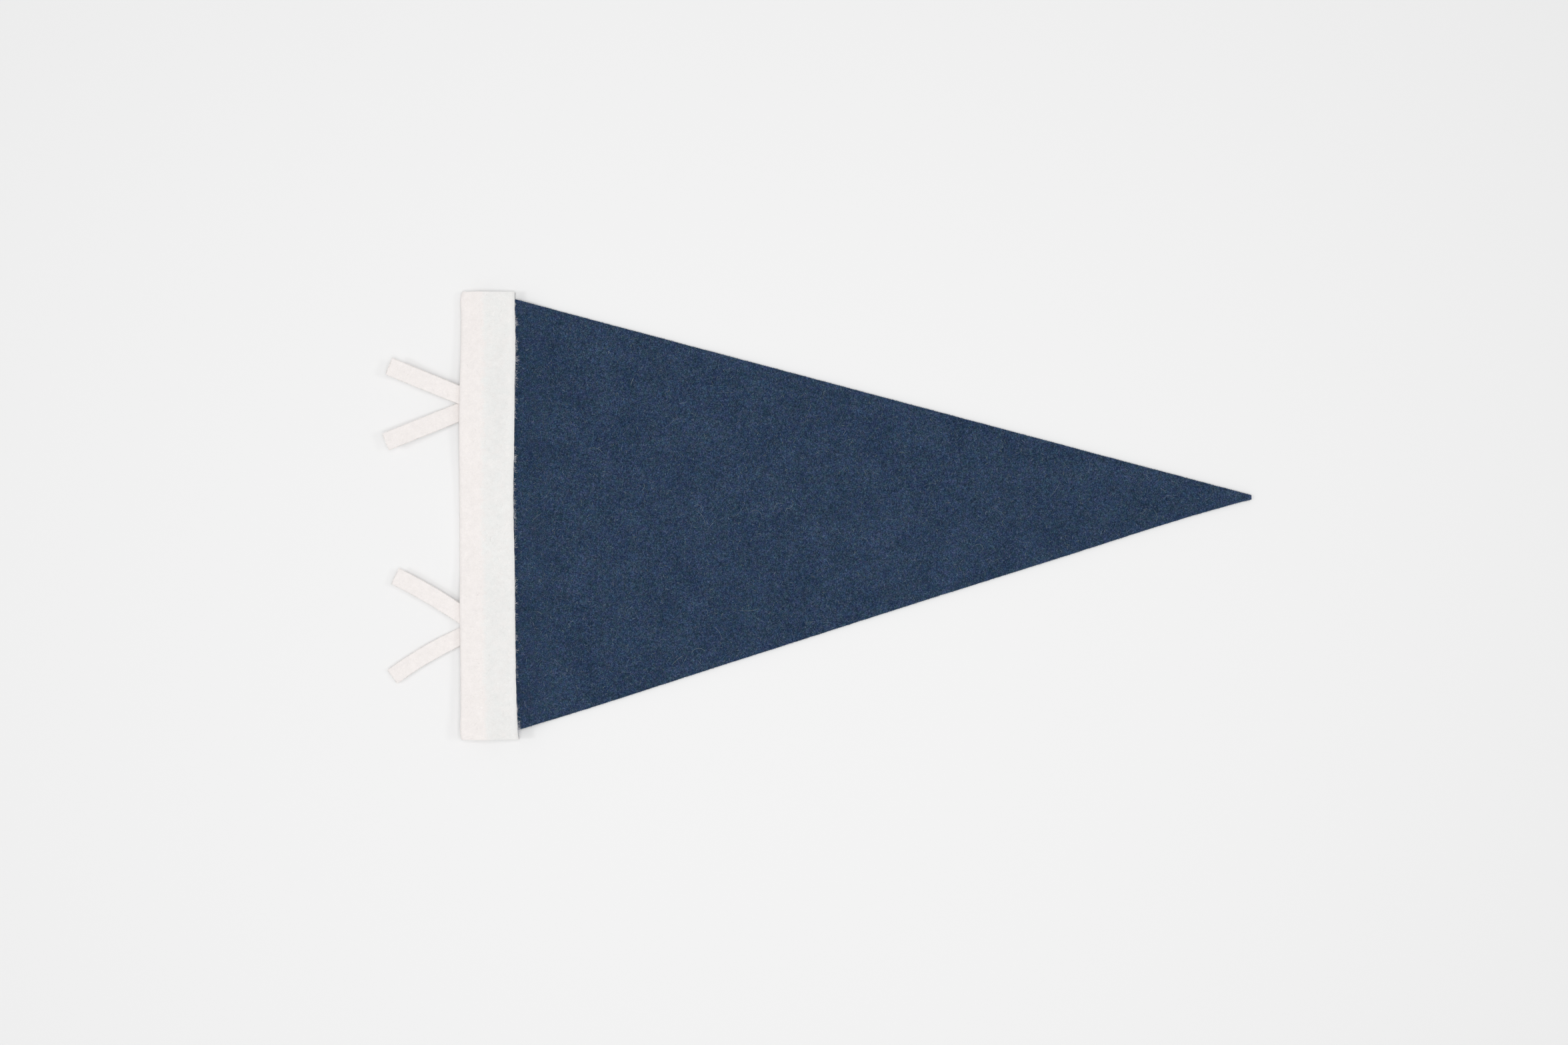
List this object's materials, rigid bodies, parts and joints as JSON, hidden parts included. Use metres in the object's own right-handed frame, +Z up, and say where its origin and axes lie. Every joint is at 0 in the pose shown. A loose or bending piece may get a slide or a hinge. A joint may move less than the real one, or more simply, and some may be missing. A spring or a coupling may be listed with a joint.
{
  "type": "pennant flag",
  "caption": "Felt pennant flag lying flat: a long triangular field, a folded header along the hoist and narrow V-folded ties.",
  "frame": {"origin": "under the middle of the whole flag, ties included, on the table it lies on", "axes": "+X from the header to the tip, +Y along the header to its upper end, +Z up, away from the table"},
  "size_m": [0.4158, 0.2156, 0.0096],
  "materials": {
    "navy_felt": "matt heathered wool-blend felt",
    "white_felt": "matt warm white wool-blend felt"
  },
  "bodies": {
    "root": {"field": "navy_felt", "header": "white_felt", "tie_upper": "white_felt", "tie_lower": "white_felt"}
  },
  "joints": []
}
